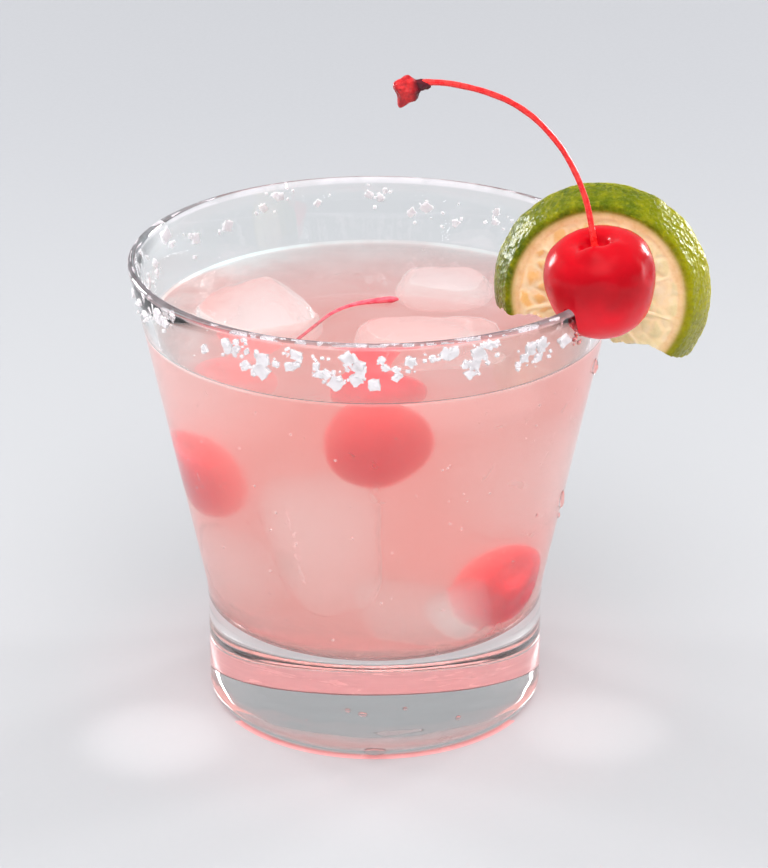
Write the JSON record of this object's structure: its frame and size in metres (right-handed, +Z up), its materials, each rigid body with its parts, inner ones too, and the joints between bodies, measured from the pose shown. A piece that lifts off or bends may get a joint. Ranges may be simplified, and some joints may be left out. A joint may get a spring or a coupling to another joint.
{
  "type": "cocktail in a glass",
  "caption": "Pink iced cocktail in a heavy-based flared glass, with salt round the rim, a slice of lime and a cherry slit onto it, and ice and a stem in the drink.",
  "frame": {"origin": "centre of the flat underside of the glass, where it stands", "axes": "+Z up along the glass; +X to the side of the rim that carries the lime and the cherry; -Y towards the viewer of the picture"},
  "size_m": [0.1084, 0.092, 0.1309],
  "materials": {
    "glass": "clear polished glass",
    "salt": "white coarse salt, slightly clear",
    "drink": "cloudy salmon pink liquid",
    "ice": "wet melting ice",
    "lime": "waxy green rind, pale pith and yellow flesh",
    "cherry": "glossy syrup-coated bright red",
    "stem": "wet red stalk with a dark ragged end"
  },
  "bodies": {
    "root": {"glass": "glass", "drink": "drink", "ice_left": "ice", "ice_middle": "ice", "ice_back": "ice", "sunk_cherry_stem": "stem", "lime_slice": "lime", "cherry": "cherry", "cherry_stem": "stem"}
  },
  "joints": []
}
